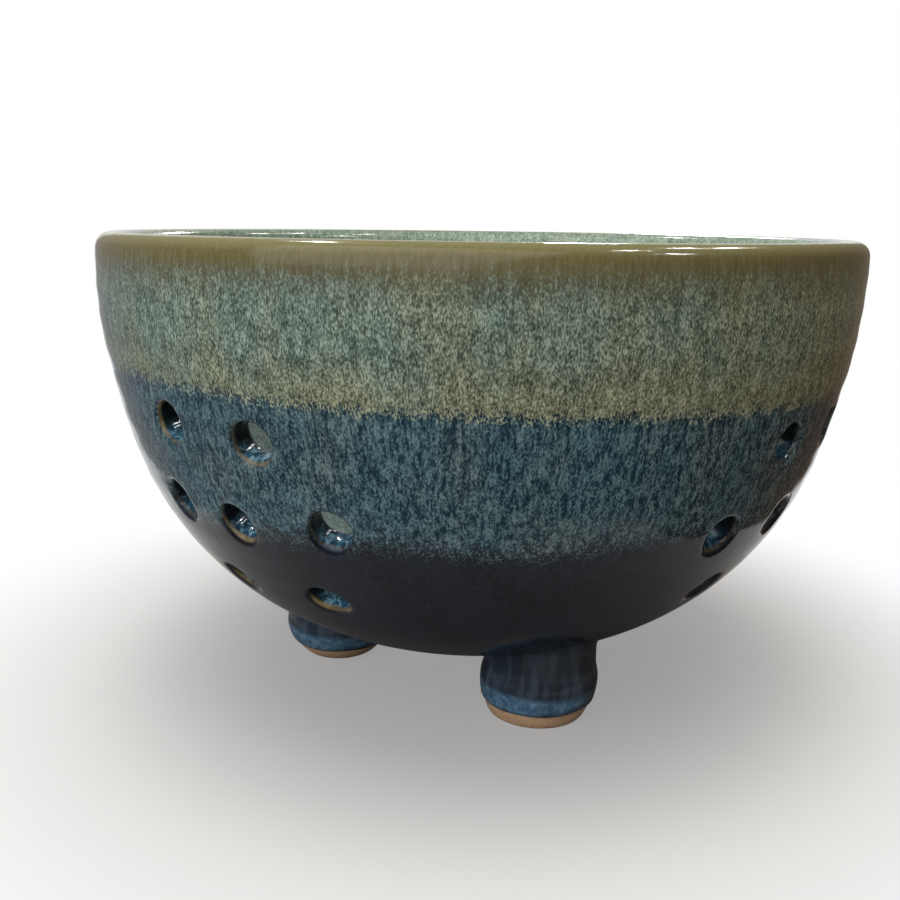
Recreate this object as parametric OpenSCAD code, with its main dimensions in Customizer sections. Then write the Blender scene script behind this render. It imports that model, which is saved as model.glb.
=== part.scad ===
// Berry colander bowl: thrown stoneware on three knob feet, pierced with
// flower-shaped groups of drain holes, glazed blue all over and dipped green
// at the rim. Millimetres, +Z up. The origin is on the table, below the
// middle of the bowl. Directions round the bowl are counted from the front
// (-Y) towards the right (+X).

/* [Bowl] */
// Finished width across the rim
rim_d = 165; // [150:1:180]
// Finished height of the rim above the table
rim_h = 101; // [92:1:112]
// Height of the underside's lowest point above the table
lift_h = 9; // [7:0.5:12]
// Radius of the curve under the bowl
base_r = 108; // [100:1:122]
// Radius of the curve that turns from the base into the wall
shoulder_r = 65.5; // [58:0.5:72]
// Radius of the curve of the upper wall
wall_r = 136; // [120:1:165]
// Thickness of the fired clay wall
clay_t = 4.6; // [3.6:0.1:6.6]

/* [Glaze] */
// Thickness of the blue coat that covers the whole pot
blue_t = 0.5; // [0.3:0.05:0.9]
// Thickness of the green coat over the blue one
green_t = 0.3; // [0.2:0.05:0.6]
// Height of the green coat's lower edge above the table
dip_h = 74.8; // [70:0.2:90]
// Slope of that edge, higher on the left, in degrees
dip_tilt = 1.3; // [0:0.1:3]
// Height of the bare clay at the bottom of each foot
bare_h = 3.5; // [2:0.25:5]

/* [Drain holes] */
// Finished width of each drain hole
hole_d = 7.8; // [6:0.2:9.6]
// Softening of the clay at both ends of each hole
hole_edge = 1.2; // [0.4:0.1:1.6]
// Distance between neighbouring holes of a group on the wall
wall_pitch = 21; // [18:0.5:23]
// Distance between neighbouring holes of the group in the base
base_pitch = 18; // [16:0.5:20]
// Number of groups round the wall
wall_groups = 4; // [3:1:5]
// Way along the underside from its lowest point to a group's middle hole
group_way = 88.8; // [82:0.4:94]
// Direction of the first group, in degrees
group_angle = -35.5; // [-90:0.5:90]

/* [Feet] */
// Radius of the circle that the feet stand on
foot_ring_r = 32.4; // [30:0.2:36]
// Direction of the front foot, in degrees
foot_angle = 27.9; // [0:0.1:60]
// Width of a foot's clay at its widest
foot_belly_d = 24.4; // [21:0.2:27]
// Height of that widest place above the table
foot_belly_h = 8; // [6.5:0.25:10]
// Width of a foot's clay where it meets the bowl
foot_neck_d = 23; // [20:0.2:25]
// Width of the front foot's flat underside
front_pad_d = 19.6; // [12:0.2:21]
// Width of the left foot's flat underside
left_pad_d = 13; // [10:0.2:19]
// Width of the rear foot's flat underside
rear_pad_d = 16; // [10:0.2:20]
// Thickness of the layer of slip that holds a foot to the bowl
slip_t = 0.6; // [0.3:0.1:1.2]

/* [Hidden] */

// How far a cut runs past the face that it opens
overrun = 1;
// Facets round the bowl, and round a hole or a foot
bowl_facets = 180;
small_facets = 48;

// How far each hole of a group strays from its regular place, along the wall
// and up the wall, as shares of wall_pitch: the middle hole, then the six
// round it from the right-hand one on, anticlockwise
left_drift_shares = [[0, 0.01], [0.01, 0.11], [-0.05, -0.01], [-0.09, 0.03],
                     [0.17, 0.07], [-0.06, -0.02], [0.09, 0.03]];
right_drift_shares = [[0, -0.06], [-0.03, 0.02], [0.02, -0.03], [0, -0.08],
                      [0.03, -0.05], [0.06, -0.02], [-0.04, 0.04]];

// How far along its run to the belly a foot's underside stays level, as a share
foot_level_share = 0.35;
// Steepness of the foot's side at the belly and the neck, as a share
foot_side_share = 0.45;

// Half width of the blue-glazed wall at the rim, and the wall's thickness there
glazed_r = rim_d/2 - green_t;
wall_t = clay_t + 2*blue_t;
// Where the wall ends and the round lip begins
lip_h = rim_h - green_t - wall_t/2;
// Centres of the three arcs of the blue-glazed outer face, which meet smoothly
base_c = [0, lift_h + base_r];
wall_c = [glazed_r - wall_r, lip_h];
shoulder_c = crossing(base_c, base_r - shoulder_r, wall_c, wall_r - shoulder_r);
// Angles at which the base meets the shoulder and the shoulder meets the wall
base_a = slope(shoulder_c - base_c);
wall_a = slope(shoulder_c - wall_c);
// Lengths of the base's arc and the shoulder's arc
base_way = arc_length(base_r, base_a + 90);
shoulder_way = arc_length(shoulder_r, wall_a - base_a);
// Steps along the arcs of the bowl's face, the lip, and the curves of a foot
base_steps = 8;
shoulder_steps = 12;
wall_steps = 8;
lip_steps = 8;
foot_steps = 8;
// Height of a foot's stem before the bowl's underside cuts it off
stem_top = 2*foot_ring_r;
// Turn from one foot to the next, and from one hole round a middle one to the next
foot_step = 120;
hole_step = 60;

function direction(angle) = [cos(angle), sin(angle)];
function slope(v) = atan2(v[1], v[0]);
function arc_length(radius, angle) = radius*angle*PI/180;
function arc_angle(radius, way) = way/radius*180/PI;

// The right-hand one of the two points where two circles cross
function crossing(a, ra, b, rb) =
    let (gap = norm(b - a),
         ahead = (b - a)/gap,
         aside = [-ahead[1], ahead[0]],
         along = (ra*ra - rb*rb + gap*gap)/(2*gap),
         off = sqrt(ra*ra - along*along),
         one = a + along*ahead + off*aside,
         other = a + along*ahead - off*aside)
    one[0] > other[0] ? one : other;

// The arc that a point of the outer face lies on, and its angle there, from
// the way along the face: [centre, radius, angle]
function face_spot(way) =
    way < base_way ? [base_c, base_r, arc_angle(base_r, way) - 90]
    : way < base_way + shoulder_way
        ? [shoulder_c, shoulder_r, base_a + arc_angle(shoulder_r, way - base_way)]
        : [wall_c, wall_r, wall_a + arc_angle(wall_r, way - base_way - shoulder_way)];
function face_point(way) =
    let (spot = face_spot(way)) spot[0] + spot[1]*direction(spot[2]);

// Points of a smooth curve with four control points
function curve(p, steps) =
    [for (i = [0:steps])
        let (t = i/steps, u = 1 - t)
        u*u*u*p[0] + 3*u*u*t*p[1] + 3*u*t*t*p[2] + t*t*t*p[3]];

// Moves local +Z onto the outer face's normal, at a way along the face
module on_face(way, turn) {
    spot = face_spot(way);
    place = face_point(way);
    rotate([0, 0, turn - 90])
        translate([place[0], 0, place[1]])
            rotate([0, 90 - spot[2], 0])
                children();
}

// Points along an arc, after its first one
function arc_points(centre, radius, from, to, steps) =
    [for (i = [1:steps]) centre + radius*direction(from + (to - from)*i/steps)];

// The three arcs from the middle of the base to the rim, drawn in by a depth
// from the blue-glazed outer face
function face_path(depth) =
    concat([base_c - [0, base_r - depth]],
           arc_points(base_c, base_r - depth, -90, base_a, base_steps),
           arc_points(shoulder_c, shoulder_r - depth, base_a, wall_a, shoulder_steps),
           arc_points(wall_c, wall_r - depth, wall_a, 0, wall_steps));

function lip_path(inset) =
    arc_points([glazed_r - wall_t/2, lip_h], wall_t/2 - inset, 0, 180, lip_steps);

function reversed(path) = [for (i = [1:len(path)]) path[len(path) - i]];

// The wall, its faces drawn in by an inset from the blue-glazed ones
module wall_shell(inset) {
    rotate_extrude($fn = bowl_facets)
        polygon(concat(face_path(inset), lip_path(inset), reversed(face_path(wall_t - inset))));
}

// All that lies inside the outer face, drawn in by a depth
module filled_bowl(depth) {
    rotate_extrude($fn = bowl_facets)
        polygon(concat(face_path(depth), [[0, lip_h]]));
}

// Cuts one hole square to the wall, with both its edges bevelled
module drain_cut(radius, edge, skin) {
    near = -skin;
    far = skin - wall_t;
    mouth = radius + edge + overrun;
    rotate_extrude($fn = small_facets)
        polygon([[0, far - overrun], [mouth, far - overrun], [radius, far + edge],
                 [radius, near - edge], [mouth, near + overrun], [0, near + overrun]]);
}

// All drain holes, as wide as the glaze leaves them, or as wide as the clay
// has them when skin is the glaze's thickness. Those in the base lie between
// the directions of the feet
module drain_holes(skin) {
    radius = hole_d/2 + skin;
    edge = skin > 0 ? hole_edge : hole_edge + (2 - sqrt(2))*blue_t;
    for (group = [0:wall_groups - 1]) {
        shares = group % 2 == 0 ? left_drift_shares : right_drift_shares;
        for (hole = [0:6]) {
            regular = hole == 0 ? [0, 0] : direction(hole_step*(hole - 1));
            place = wall_pitch*(regular + shares[hole]);
            way = group_way + place[1];
            turn = group_angle + group*360/wall_groups
                 + arc_angle(face_point(way)[0], place[0]);
            on_face(way, turn) drain_cut(radius, edge, skin);
        }
    }
    on_face(0, 0) drain_cut(radius, edge, skin);
    for (hole = [0:5])
        on_face(base_pitch, foot_angle + hole_step*(hole + 1/2)) drain_cut(radius, edge, skin);
}

// A foot's clay, or that with the glaze's thickness added, up into the bowl
module foot_form(pad_d, coat) {
    pad = pad_d/2 + coat;
    belly = foot_belly_d/2 + coat;
    neck = foot_neck_d/2 + coat;
    neck_h = lift_h + foot_belly_h/2;
    out = belly - pad;
    rise = neck_h - foot_belly_h;
    underside = curve([[pad, 0], [pad + foot_level_share*out, 0],
                       [belly, (1 - foot_side_share)*foot_belly_h],
                       [belly, foot_belly_h]], foot_steps);
    side = curve([[belly, foot_belly_h], [belly, foot_belly_h + foot_side_share*rise],
                  [neck, neck_h - foot_side_share*rise], [neck, neck_h]], foot_steps);
    rotate_extrude($fn = small_facets)
        polygon(concat([[0, 0]], underside, [for (i = [1:foot_steps]) side[i]],
                       [[neck, stem_top], [0, stem_top]]));
}

module at_foot(number) {
    rotate([0, 0, foot_angle + number*foot_step - 90])
        translate([foot_ring_r, 0, 0])
            children();
}

// A foot ends at the slip, which follows the bowl's underside
module foot(number, pad_d) {
    difference() {
        at_foot(number) foot_form(pad_d, 0);
        filled_bowl(blue_t - slip_t);
    }
}

// The slip between a foot and the bowl's clay
module slip_joint(number, pad_d) {
    intersection() {
        at_foot(number) foot_form(pad_d, 0);
        difference() {
            filled_bowl(blue_t - slip_t);
            filled_bowl(blue_t);
        }
    }
}

// A foot's clay or its glazed outside, rooted halfway through the bowl's wall
module foot_root(number, pad_d, coat) {
    difference() {
        at_foot(number) foot_form(pad_d, coat);
        filled_bowl(wall_t/2);
    }
}

module bowl_body() {
    color("#8f6e50")
        difference() {
            wall_shell(blue_t);
            drain_holes(blue_t);
        }
}

module foot_front() {
    color("#8f6e50") foot(0, front_pad_d);
}

module foot_left() {
    color("#8f6e50") foot(-1, left_pad_d);
}

module foot_rear() {
    color("#8f6e50") foot(1, rear_pad_d);
}

module slip_joint_front() {
    color("#7a5c44") slip_joint(0, front_pad_d);
}

module slip_joint_left() {
    color("#7a5c44") slip_joint(-1, left_pad_d);
}

module slip_joint_rear() {
    color("#7a5c44") slip_joint(1, rear_pad_d);
}

// One coat outside and inside, through the holes and over the feet
module blue_base_glaze() {
    color("#35474f")
        difference() {
            glazed_outside();
            bowl_body();
            foot_root(0, front_pad_d, 0);
            foot_root(-1, left_pad_d, 0);
            foot_root(1, rear_pad_d, 0);
        }
}

// The pierced bowl and its feet as the blue coat leaves them
module glazed_outside() {
    difference() {
        union() {
            wall_shell(0);
            foot_root(0, front_pad_d, blue_t);
            foot_root(-1, left_pad_d, blue_t);
            foot_root(1, rear_pad_d, blue_t);
        }
        drain_holes(0);
        cylinder(r = glazed_r, h = bare_h, $fn = bowl_facets);
    }
}

// The second dip: over the lip and down both faces to the same level
module green_rim_glaze() {
    color("#717566")
        difference() {
            intersection() {
                rotate_extrude($fn = bowl_facets)
                    polygon(concat(upper_path(-green_t), reversed(upper_path(0))));
                translate([0, 0, dip_h])
                    rotate([0, dip_tilt, 0])
                        cylinder(r = rim_d, h = rim_d, $fn = bowl_facets);
            }
            drain_holes(0);
        }
}

// Up the wall's outer face, over the lip and down its inner face
function upper_path(inset) =
    concat(arc_points(wall_c, wall_r - inset, wall_a, 0, wall_steps),
           lip_path(inset),
           reversed(arc_points(wall_c, wall_r - wall_t + inset, wall_a, 0, wall_steps)));

bowl_body();
foot_front();
foot_left();
foot_rear();
slip_joint_front();
slip_joint_left();
slip_joint_rear();
blue_base_glaze();
green_rim_glaze();
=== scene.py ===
# %% [markdown]
# The black below the blue is also painted darker, as shade of the underside.
# # Berry colander bowl
# A thrown stoneware bowl on three knob feet. Its wall and its base are pierced
# with flower-shaped groups of drain holes. It was glazed in three dips: black
# all over, rutile blue down to half its height, and green at the rim.
# This lesson builds its surface with numpy and its glazes with shader nodes,
# round the solids of the CAD model.

# %% Frame
import bpy
import numpy as np
from mathutils import Matrix


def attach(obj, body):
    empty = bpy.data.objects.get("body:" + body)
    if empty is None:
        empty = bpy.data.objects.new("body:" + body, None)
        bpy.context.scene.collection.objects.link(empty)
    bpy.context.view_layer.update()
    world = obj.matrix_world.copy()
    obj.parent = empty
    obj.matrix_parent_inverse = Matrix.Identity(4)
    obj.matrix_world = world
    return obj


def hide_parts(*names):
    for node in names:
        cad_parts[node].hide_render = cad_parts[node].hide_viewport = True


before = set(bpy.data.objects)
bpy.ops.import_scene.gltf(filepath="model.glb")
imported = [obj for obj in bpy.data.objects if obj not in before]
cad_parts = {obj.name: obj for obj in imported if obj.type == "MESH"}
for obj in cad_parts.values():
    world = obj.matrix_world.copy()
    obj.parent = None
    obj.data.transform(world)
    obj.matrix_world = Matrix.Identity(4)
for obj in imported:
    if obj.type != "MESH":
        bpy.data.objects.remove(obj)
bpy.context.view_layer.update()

MM = 0.001

# %% [markdown]
# ## The camera
# A product photograph is taken by a pinhole camera, so a place, a direction
# and a focal length describe it. These were fitted to the rim's ellipse and
# the bowl's outline. The camera stands 233 mm in front of the middle, hardly
# above the rim, and looks 13 degrees down.
# Blender can aim a camera with a constraint, but a matrix of its three axes
# says the same thing in one step and can carry the small roll.

# %% Camera
CAMERA_PLACE = np.array([0, -233.43, 104.01])
CAMERA_YAW, CAMERA_PITCH, CAMERA_ROLL = np.radians([-1.395, 12.787, 0.772])
FOCAL_PIXELS, FRAME_PIXELS, SENSOR = 1012.32, 900, 36

ahead = np.array([np.cos(CAMERA_PITCH) * np.sin(CAMERA_YAW),
                  np.cos(CAMERA_PITCH) * np.cos(CAMERA_YAW), -np.sin(CAMERA_PITCH)])
level = np.array([np.cos(CAMERA_YAW), -np.sin(CAMERA_YAW), 0])
over = np.cross(level, ahead)
camera_x = level * np.cos(CAMERA_ROLL) + over * np.sin(CAMERA_ROLL)
camera_y = over * np.cos(CAMERA_ROLL) - level * np.sin(CAMERA_ROLL)


def placed(x_axis, y_axis, z_axis, place):
    """The matrix that turns an object's axes to three directions and moves it to a place."""
    matrix = np.eye(4)
    matrix[:3] = np.stack([x_axis, y_axis, z_axis, place], -1)
    return Matrix(matrix.tolist())


camera = bpy.data.objects.new("camera", bpy.data.cameras.new("camera"))
camera.matrix_world = placed(camera_x, camera_y, -ahead, CAMERA_PLACE * MM)
camera.data.sensor_width = SENSOR
camera.data.lens = FOCAL_PIXELS / FRAME_PIXELS * SENSOR
camera.data.clip_start, camera.data.clip_end = 0.01, 50
bpy.context.scene.collection.objects.link(camera)
bpy.context.scene.camera = camera
bpy.context.scene.view_settings.view_transform = "Standard"
print("lens in mm:", round(camera.data.lens, 2))

# %% [markdown]
# ## The bowl's profile
# A thrown bowl is a lathe form, and this one's outline is three arcs that meet
# smoothly: the base, the shoulder and the upper wall. A profile could be
# drawn by hand as a Bezier curve and turned with the Screw modifier. A function
# is better here, because the same arcs also place every hole, the glaze lines
# and the feet. It takes the way along the outer face from the middle of the
# base, and a depth below that face.

# %% Profile sizes, in mm
RIM_R, RIM_H, LIFT_H = 82.5, 101.0, 9.0
BASE_R, SHOULDER_R, WALL_R = 108.0, 65.5, 136.0
CLAY_T, BLUE_T, GREEN_T = 4.6, 0.5, 0.3
WALL_T = CLAY_T + 2 * BLUE_T
GLAZED_R = RIM_R - GREEN_T
LIP_H = RIM_H - GREEN_T - WALL_T / 2


def crossing(a, ra, b, rb):
    """The right-hand one of the two points where two circles cross."""
    gap = np.hypot(*(b - a))
    forward = (b - a) / gap
    sideways = np.array([-forward[1], forward[0]])
    along = (ra**2 - rb**2 + gap**2) / (2 * gap)
    off = np.sqrt(ra**2 - along**2)
    one, other = a + along * forward + off * sideways, a + along * forward - off * sideways
    return one if one[0] > other[0] else other


BASE_C = np.array([0, LIFT_H + BASE_R])
WALL_C = np.array([GLAZED_R - WALL_R, LIP_H])
SHOULDER_C = crossing(BASE_C, BASE_R - SHOULDER_R, WALL_C, WALL_R - SHOULDER_R)
CENTRES, RADII = np.array([BASE_C, SHOULDER_C, WALL_C]), np.array([BASE_R, SHOULDER_R, WALL_R])
BASE_A = np.arctan2(*(SHOULDER_C - BASE_C)[::-1])
WALL_A = np.arctan2(*(SHOULDER_C - WALL_C)[::-1])
ANGLES = np.array([-np.pi / 2, BASE_A, WALL_A])
WAYS = np.array([0, BASE_R * (BASE_A + np.pi / 2), 0])
WAYS[2] = WAYS[1] + SHOULDER_R * (WALL_A - BASE_A)
RIM_WAY = WAYS[2] - WALL_R * WALL_A


def face(way, depth=0.0):
    """Radius and height of the face at a way, drawn in by a depth, and the slope of
    its normal: on each arc, its centre plus its radius less the depth, turned by the
    way along it over its radius."""
    part = np.searchsorted(WAYS, way, side="right") - 1
    slope = ANGLES[part] + (way - WAYS[part]) / RADII[part]
    reach = RADII[part] - depth
    return CENTRES[part, 0] + reach * np.cos(slope), CENTRES[part, 1] + reach * np.sin(slope), slope


def around(radius, height, turn):
    """Points at a radius and height, in a direction counted from the front to the right."""
    return np.stack(np.broadcast_arrays(
        radius * np.sin(turn), -radius * np.cos(turn), height), -1)


def onto_face(points, depth):
    """Each point moved to the face drawn in by a depth, straight to or from the
    centre of the arc that it belongs to, in its own direction round the bowl."""
    radius, height = np.hypot(points[..., 0], points[..., 1]), points[..., 2]
    turn = np.arctan2(points[..., 0], -points[..., 1])
    slopes = [np.arctan2(height - c[1], radius - c[0]) for c in CENTRES]
    part = np.where(slopes[0] < BASE_A, 0, np.where(slopes[1] < WALL_A, 1, 2))
    slope = np.choose(part, slopes)
    reach = RADII[part] - depth
    return around(CENTRES[part, 0] + reach * np.cos(slope),
                  CENTRES[part, 1] + reach * np.sin(slope), turn)


print("way from the middle of the base to the rim:", round(RIM_WAY, 1), "mm")

# %% [markdown]
# ## The drain holes' places
# The potter pressed a metal tube through the leather-hard wall by eye, seven
# times a group: one in the middle and six round it, a finger's width apart. So
# each hole strays a little from its regular place. The strays are shares of
# the pitch, and those of the two groups in the photograph were measured there.

# %% Hole places
HOLE_D, HOLE_EDGE, HOLE_SOFT = 7.8, 1.2, 1.5
WALL_PITCH, BASE_PITCH, WALL_GROUPS = 21.0, 18.0, 4
GROUP_WAY, GROUP_TURN, FOOT_TURN = 88.8, np.radians(-35.5), np.radians(27.9)
LEFT_DRIFT = np.array([[0, .01], [.01, .11], [-.05, -.01], [-.09, .03],
                       [.17, .07], [-.06, -.02], [.09, .03]])
RIGHT_DRIFT = np.array([[0, -.06], [-.03, .02], [.02, -.03], [0, -.08],
                        [.03, -.05], [.06, -.02], [-.04, .04]])

sixths = np.radians(60 * np.arange(6))
flower = np.concatenate([[[0, 0]], np.stack([np.cos(sixths), np.sin(sixths)], -1)])
hole_ways, hole_turns = [], []
for group in range(WALL_GROUPS):
    places = WALL_PITCH * (flower + (LEFT_DRIFT, RIGHT_DRIFT)[group % 2])
    way = GROUP_WAY + places[:, 1]
    hole_ways.append(way)
    hole_turns.append(GROUP_TURN + group * 2 * np.pi / WALL_GROUPS + places[:, 0] / face(way)[0])
hole_ways.append(np.full(6, BASE_PITCH))
hole_turns.append(FOOT_TURN + sixths + np.radians(30))
hole_ways, hole_turns = np.concatenate(hole_ways), np.concatenate(hole_turns)
print("holes besides the one in the middle of the base:", len(hole_ways))

# %% [markdown]
# ## The glazed wall
# On the real pot this is one continuous skin: down the outside, through every
# hole, up the inside and over the lip. A Boolean would cut the holes, but it
# leaves slivers that show in a glossy glaze. Instead the skin is a grid of
# rows along the profile and columns round the bowl. A block of cells is left
# out round each hole, and a patch of rings fills it: from the block's edge to
# a circle, round the hole's soft lip, through the wall, and the same outwards.
# So the edges flow round each hole as a modeller would draw them.

# %% Mesh helper
def make_piece(name, points, quads, triangles=(), slot=None, stands_for=(), **attributes):
    """A mesh from points in mm and faces by point number, with one number a point
    for each attribute, riding on the object."""
    mesh = bpy.data.meshes.new(name)
    corners = [np.asarray(f, int) for f in (quads, triangles) if len(f)]
    mesh.from_pydata((points * MM).tolist(), [], sum([f.tolist() for f in corners], []))
    mesh.shade_smooth()
    for key, values in attributes.items():
        mesh.attributes.new(key, "FLOAT", "POINT").data.foreach_set("value", values)
    piece = bpy.data.objects.new(name, mesh)
    bpy.context.scene.collection.objects.link(piece)
    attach(piece, "root")
    if stands_for:
        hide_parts(*stands_for)
    print(name, "has", len(points), "points and", 2 * len(quads) + len(triangles), "triangles")
    return piece


def grid_faces(rows, columns, close_rows=False, close_columns=True):
    """The quads of a grid whose points are numbered row by row: each joins a point, its
    neighbour in the row, and the two above. Rows and columns may close on themselves."""
    row = np.arange(rows if close_rows else rows - 1)[:, None]
    column = np.arange(columns if close_columns else columns - 1)[None]
    up, right = (row + 1) % rows, (column + 1) % columns
    return np.stack(np.broadcast_arrays(row * columns + column, row * columns + right,
                                        up * columns + right, up * columns + column), -1)


# %% The lip round a hole, as a path from the outer face to the inner one
def hole_path():
    """Pairs of radius and depth: a quarter round in from the outer face, straight
    through the wall, and a quarter round out onto the inner face. And how thin the
    glaze runs at each, which is most in the middle of the rounds."""
    bend = np.radians(np.linspace(0, 90, 6))
    bore = HOLE_D / 2
    round_in = np.stack([bore + HOLE_EDGE * (1 - np.sin(bend)), HOLE_SOFT * (1 - np.cos(bend))], -1)
    round_out = np.stack([round_in[::-1, 0], WALL_T - round_in[::-1, 1]], -1)
    middle = [[bore, WALL_T / 2]]
    around_lip = np.array([0.1, 0.25, 0.5, 1, 0.8, 0.3])
    thin = np.concatenate([around_lip, [0.1], around_lip[::-1]])
    return np.concatenate([round_in, middle, round_out]), thin


HOLE_PATH, HOLE_THIN = hole_path()
HOLE_REACH = HOLE_PATH[0, 0]
IN_BORE = np.interp(HOLE_PATH[:, 1], [0.4, 1.4, WALL_T - 0.8, WALL_T], [0, 1, 1, 0])
print("a hole's path has", len(HOLE_PATH), "rings; its lip is", 2 * HOLE_REACH, "mm across")

# %% The grid of the wall
COLUMNS, FACE_ROWS, LIP_ROWS, FIRST_STEP = 256, 92, 11, 0.8
turns = 2 * np.pi * np.arange(COLUMNS) / COLUMNS
face_ways = np.linspace(HOLE_REACH + FIRST_STEP, RIM_WAY, FACE_ROWS)


def wall_rows():
    """Radius, height, glaze thinness and share of the way in of each row: up the outer face,
    over the lip in a half circle, down the inner face, and out through the middle hole."""
    out_r, out_h, _ = face(face_ways)
    in_r, in_h, _ = face(face_ways[::-1], WALL_T)
    bend = np.radians(np.linspace(0, 180, LIP_ROWS + 2)[1:-1])
    lip_r, lip_h = GLAZED_R - WALL_T / 2 * (1 - np.cos(bend)), LIP_H + WALL_T / 2 * np.sin(bend)
    path = HOLE_PATH[::-1]
    middle_r, middle_h = path[:, 0], LIFT_H + path[:, 1] + path[:, 0] ** 2 / 2 / BASE_R
    rest = 2 * FACE_ROWS + LIP_ROWS
    thin = np.concatenate([np.zeros(rest), HOLE_THIN[::-1]])
    inner = np.concatenate([np.zeros(FACE_ROWS + LIP_ROWS), np.ones(FACE_ROWS), path[:, 1] / WALL_T])
    return (np.concatenate([out_r, lip_r, in_r, middle_r]),
            np.concatenate([out_h, lip_h, in_h, middle_h]), thin, inner)


row_r, row_h, row_thin, row_inner = wall_rows()
wall_points = around(row_r[:, None], row_h[:, None], turns[None]).reshape(-1, 3)
wall_thin, wall_inner = np.repeat(row_thin, COLUMNS), np.repeat(row_inner, COLUMNS)
wall_quads = grid_faces(len(row_r), COLUMNS, close_rows=True)
kept = np.ones(wall_quads.shape[:2], bool)
print("wall grid:", wall_quads.shape[0], "rows by", COLUMNS, "columns")

# %% [markdown]
# ### Bores and lips
# A tube pushed by hand leaves a bore that isn't quite round, so two slow waves
# go round each circle. In the fire the glaze runs to the lower side of the bore
# and lies there in a pool, which draws the circle in by a seventh. Three numbers
# go with each point, and the glaze's colours follow them: how thin it has run,
# how far in the wall it lies, and how deep it pools.

# %% The patches round the holes
BLOCK, POOL_SHARE = 6.9, 0.14
row_step = face_ways[1] - face_ways[0]
inner_start = FACE_ROWS + LIP_ROWS


def block_edge(rows, columns):
    """The grid points round a block of cells, once round, anticlockwise from its lower left."""
    low, high, left, right = rows[0], rows[-1], columns[0], columns[-1]
    r = np.concatenate([np.full(len(columns) - 1, low), rows[:-1],
                        np.full(len(columns) - 1, high), rows[:0:-1]])
    c = np.concatenate([columns[:-1], np.full(len(rows) - 1, right),
                        columns[:0:-1], np.full(len(rows) - 1, left)])
    return r, c % COLUMNS


def doubled(ring):
    """A closed ring with the middle of each side added between its points."""
    return np.stack([ring, (ring + np.roll(ring, -1, 0)) / 2], 1).reshape(-1, 3)


def joined(one, two):
    """Quads between two closed rings of as many points."""
    return np.stack([one, np.roll(one, -1), np.roll(two, -1), two], -1)


def fanned(few, many):
    """Three triangles for each side of a ring, which meets a ring of twice its points."""
    after, first, second, third = np.roll(few, -1), many[::2], many[1::2], np.roll(many[::2], -1)
    return np.concatenate([np.stack([few, after, second], -1), np.stack([few, second, first], -1),
                           np.stack([after, third, second], -1)])


rng = np.random.default_rng(7)
points, thins, inners, pools = [wall_points], [wall_thin], [wall_inner], [0 * wall_thin]
quads, triangles = [], []
count = len(wall_points)
for way, turn in zip(hole_ways, hole_turns):
    radius, height, slope = face(way)
    middle = around(radius, height, turn)
    normal = around(np.cos(slope), np.sin(slope), turn)
    up = around(-np.sin(slope), np.cos(slope), turn)
    side = np.array([np.cos(turn), np.sin(turn), 0])
    near_row, near_column = round((way - face_ways[0]) / row_step), round(turn / turns[1])
    half_rows, half_columns = round(BLOCK / row_step), round(BLOCK / (radius * turns[1]))
    rows = np.arange(near_row - half_rows, near_row + half_rows + 1)
    columns = np.arange(near_column - half_columns, near_column + half_columns + 1)
    mirrored = inner_start + FACE_ROWS - 1 - rows
    kept[rows[0]:rows[-1], columns[:-1, None] % COLUMNS] = False
    kept[mirrored[-1]:mirrored[0], columns[:-1, None] % COLUMNS] = False
    r, c = block_edge(rows, columns)
    outer, inner = r * COLUMNS + c, (inner_start + FACE_ROWS - 1 - r) * COLUMNS + c

    outer_ring, inner_ring = doubled(wall_points[outer]), doubled(wall_points[inner])
    spokes = np.arctan2((outer_ring - middle) @ up, (outer_ring - middle) @ side)
    uneven = (1 + 0.025 * np.sin(2 * spokes + rng.uniform(0, 6.3))
              + 0.014 * np.sin(3 * spokes + rng.uniform(0, 6.3)))
    circle = np.cos(spokes)[:, None] * side + np.sin(spokes)[:, None] * up
    low = np.clip(-np.sin(spokes), 0, 1)
    rings = []
    for (ring_r, depth), bore in zip(HOLE_PATH, IN_BORE):
        filled = ring_r * uneven * (1 - POOL_SHARE * bore * low**4)
        rings.append(onto_face(middle + circle * filled[:, None] - depth * normal, depth))
    before = [onto_face(rings[0] + share * (outer_ring - rings[0]), 0.0) for share in (0.6, 0.25)]
    after = [onto_face(rings[-1] + share * (inner_ring - rings[-1]), WALL_T) for share in (0.25, 0.6)]
    rings = before + rings + after
    thin = np.concatenate([[0, 0.1], HOLE_THIN, [0.1, 0]])
    numbers = count + np.arange(len(rings) * len(spokes)).reshape(len(rings), -1)
    points.append(np.concatenate(rings))
    thins.append(np.repeat(thin, len(spokes)))
    inners.append(np.repeat(np.concatenate([[0, 0], HOLE_PATH[:, 1] / WALL_T, [1, 1]]), len(spokes)))
    pools.append((np.pad(IN_BORE, 2)[:, None] * np.clip(1.3 * low - 0.15, 0, 1)).ravel())
    quads += [joined(a, b) for a, b in zip(numbers, numbers[1:])]
    triangles += [fanned(outer, numbers[0]), fanned(inner, numbers[-1])[:, ::-1]]
    count += numbers.size

used = np.concatenate([wall_quads[kept], *quads])
print("cells left out for holes:", int((~kept).sum()), "and patch quads:", sum(map(len, quads)))

# %% [markdown]
# ## What the hand left
# A thrown wall is never perfect. Fingers leave a faint spiral of throwing
# rings, and this rim has dried about half a millimetre out of true to the left.
# Both are moved into the mesh, always inwards, so that the pot keeps its width.

# %% Throwing rings
RING_PITCH, RING_DEEP, SLOW_DEEP, RIM_DEEP = 6.5, 0.05, 0.06, 0.3
RINGS_FROM, RINGS_FULL, RIM_FROM, RIM_FULL = 15, 55, 80, 98  # heights


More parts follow.
